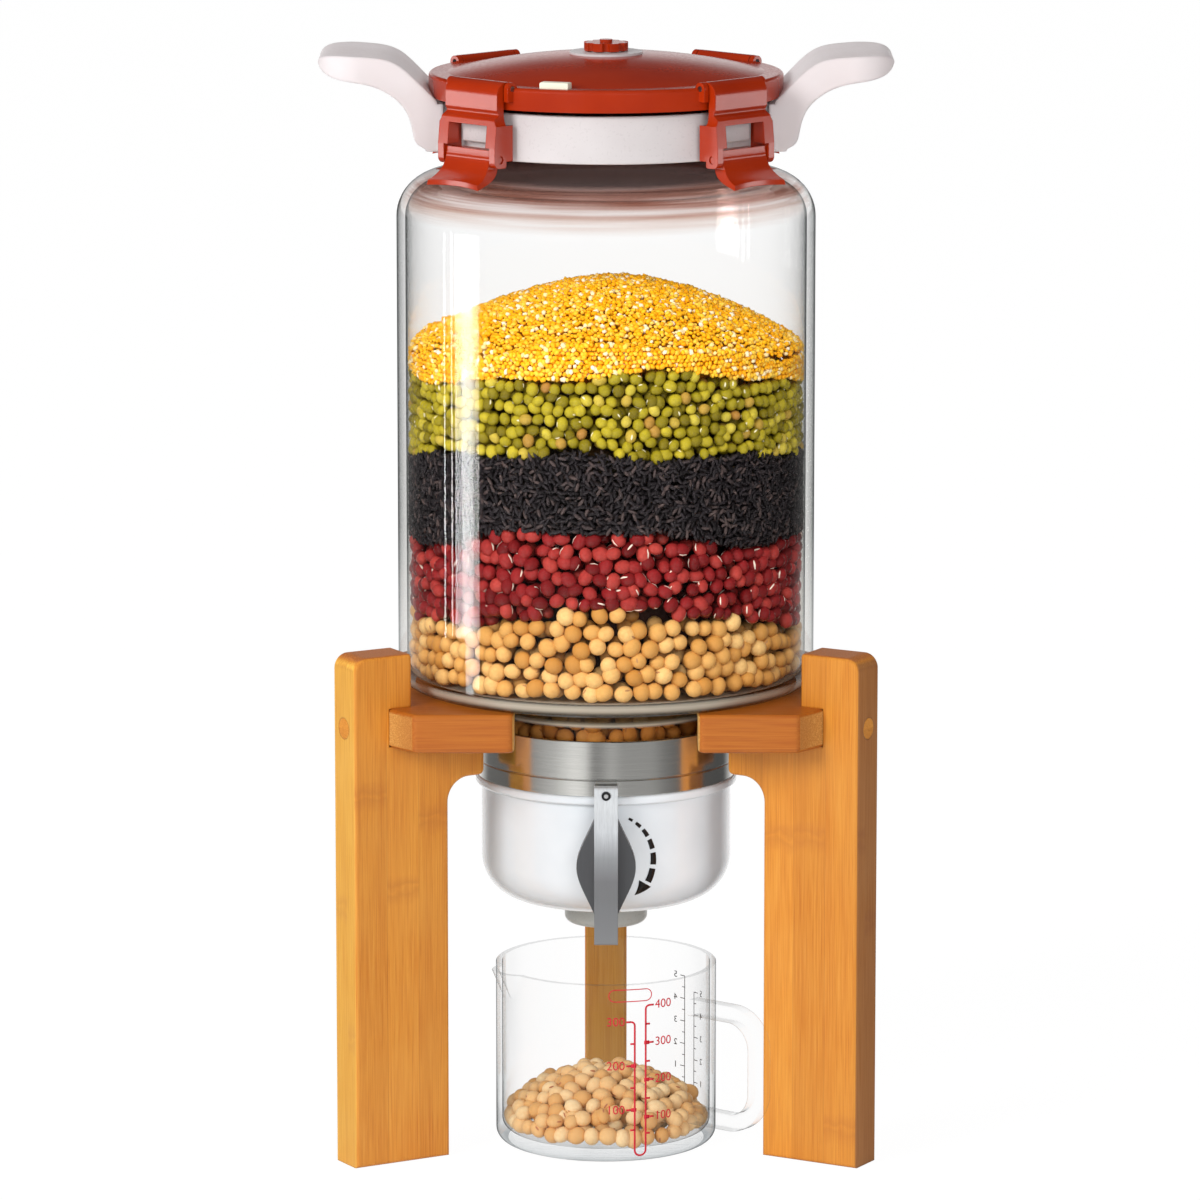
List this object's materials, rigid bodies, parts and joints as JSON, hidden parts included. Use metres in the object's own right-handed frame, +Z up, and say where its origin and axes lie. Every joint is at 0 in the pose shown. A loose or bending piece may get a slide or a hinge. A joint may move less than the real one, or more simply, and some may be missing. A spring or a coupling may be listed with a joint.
{
  "type": "grain dispenser",
  "caption": "Glass grain jar with a latched lid and wing handles on a wooden three-leg stand, with a hand-turned outlet under it over a glass measuring cup.",
  "frame": {"origin": "middle of the bounding footprint, on the surface that the feet stand on", "axes": "+Z up along the jar axis, front with the knob towards -Y, +X to the right seen from the front"},
  "size_m": [0.236, 0.2106, 0.4604],
  "materials": {
    "bamboo": "satin laminated bamboo",
    "screw_steel": "plain",
    "jar_glass": "clear",
    "cup_glass": "clear",
    "white_plastic": "gloss",
    "pale_plastic": "matt",
    "frosted_plastic": "frosted, lets some light through",
    "seal_rubber": "soft silicone",
    "sleeve_steel": "brushed round the axis",
    "knob_silver": "satin silver",
    "knob_grey": "satin grey",
    "pointer_steel": "polished",
    "russet_plastic": "gloss"
  },
  "bodies": {
    "stand": {"leg_left": "bamboo", "leg_right": "bamboo", "leg_back": "bamboo", "seat_ring": "bamboo", "seat_screws": "screw_steel", "screw_plugs": "bamboo"},
    "jar": {"glass_jar": "jar_glass", "neck_ring": "white_plastic", "handle_left": "frosted_plastic", "handle_right": "frosted_plastic", "neck_seal": "seal_rubber", "steel_sleeve": "sleeve_steel", "hopper": "white_plastic", "outlet_funnel": "pale_plastic", "front_bush": "pale_plastic"},
    "knob": {"gate_shaft": "screw_steel", "rotary_gate": "pale_plastic", "shaft_clip": "screw_steel", "knob_plate": "knob_grey", "knob_lever": "knob_silver", "pointer_pin": "pointer_steel"},
    "lid": {"lid_shell": "russet_plastic", "lid_gasket": "seal_rubber", "latch_pins": "screw_steel", "release_tab": "seal_rubber", "vent_base": "pale_plastic"},
    "vent": {"vent_knob": "russet_plastic", "vent_seal": "seal_rubber", "vent_clip": "pale_plastic"},
    "cup": {"measuring_cup": "cup_glass"},
    "latch_front_left": {"latch_front_left": "russet_plastic"},
    "lever_front_left": {"lever_front_left": "russet_plastic"},
    "latch_front_right": {"latch_front_right": "russet_plastic"},
    "lever_front_right": {"lever_front_right": "russet_plastic"},
    "latch_back_left": {"latch_back_left": "russet_plastic"},
    "lever_back_left": {"lever_back_left": "russet_plastic"},
    "latch_back_right": {"latch_back_right": "russet_plastic"},
    "lever_back_right": {"lever_back_right": "russet_plastic"}
  },
  "joints": [
    {"name": "jar_lift", "type": "slide", "parent": "stand", "child": "jar", "axis": [0, 0, 1], "range_m": [0, 0.13]},
    {"name": "knob_turn", "type": "hinge", "parent": "jar", "child": "knob", "pos_m": [0, -0.01875, 0.1263], "axis": [0, 1, 0], "range_deg": [0, 110]},
    {"name": "lid_lift", "type": "slide", "parent": "jar", "child": "lid", "axis": [0, 0, 1], "range_m": [0, 0.06]},
    {"name": "vent_pull", "type": "slide", "parent": "lid", "child": "vent", "axis": [0, 0, 1], "range_m": [0, 0.003]},
    {"name": "cup_slide", "type": "slide", "parent": "stand", "child": "cup", "axis": [0, -1, 0], "range_m": [0, 0.16]},
    {"name": "swing_front_left", "type": "hinge", "parent": "lid", "child": "latch_front_left", "pos_m": [-0.05035, -0.0691, 0.4469], "axis": [-0.7071, 0.7071, 0], "range_deg": [0, 115]},
    {"name": "flip_front_left", "type": "hinge", "parent": "latch_front_left", "child": "lever_front_left", "pos_m": [-0.05423, -0.07298, 0.4183], "axis": [-0.7071, 0.7071, 0], "range_deg": [0, 60]},
    {"name": "swing_front_right", "type": "hinge", "parent": "lid", "child": "latch_front_right", "pos_m": [0.05035, -0.0691, 0.4469], "axis": [-0.7071, -0.7071, 0], "range_deg": [0, 115]},
    {"name": "flip_front_right", "type": "hinge", "parent": "latch_front_right", "child": "lever_front_right", "pos_m": [0.05423, -0.07298, 0.4183], "axis": [-0.7071, -0.7071, 0], "range_deg": [0, 60]},
    {"name": "swing_back_left", "type": "hinge", "parent": "lid", "child": "latch_back_left", "pos_m": [-0.05035, 0.0316, 0.4469], "axis": [0.7071, 0.7071, 0], "range_deg": [0, 115]},
    {"name": "flip_back_left", "type": "hinge", "parent": "latch_back_left", "child": "lever_back_left", "pos_m": [-0.05423, 0.03549, 0.4183], "axis": [0.7071, 0.7071, 0], "range_deg": [0, 60]},
    {"name": "swing_back_right", "type": "hinge", "parent": "lid", "child": "latch_back_right", "pos_m": [0.05035, 0.0316, 0.4469], "axis": [0.7071, -0.7071, 0], "range_deg": [0, 115]},
    {"name": "flip_back_right", "type": "hinge", "parent": "latch_back_right", "child": "lever_back_right", "pos_m": [0.05423, 0.03549, 0.4183], "axis": [0.7071, -0.7071, 0], "range_deg": [0, 60]}
  ]
}
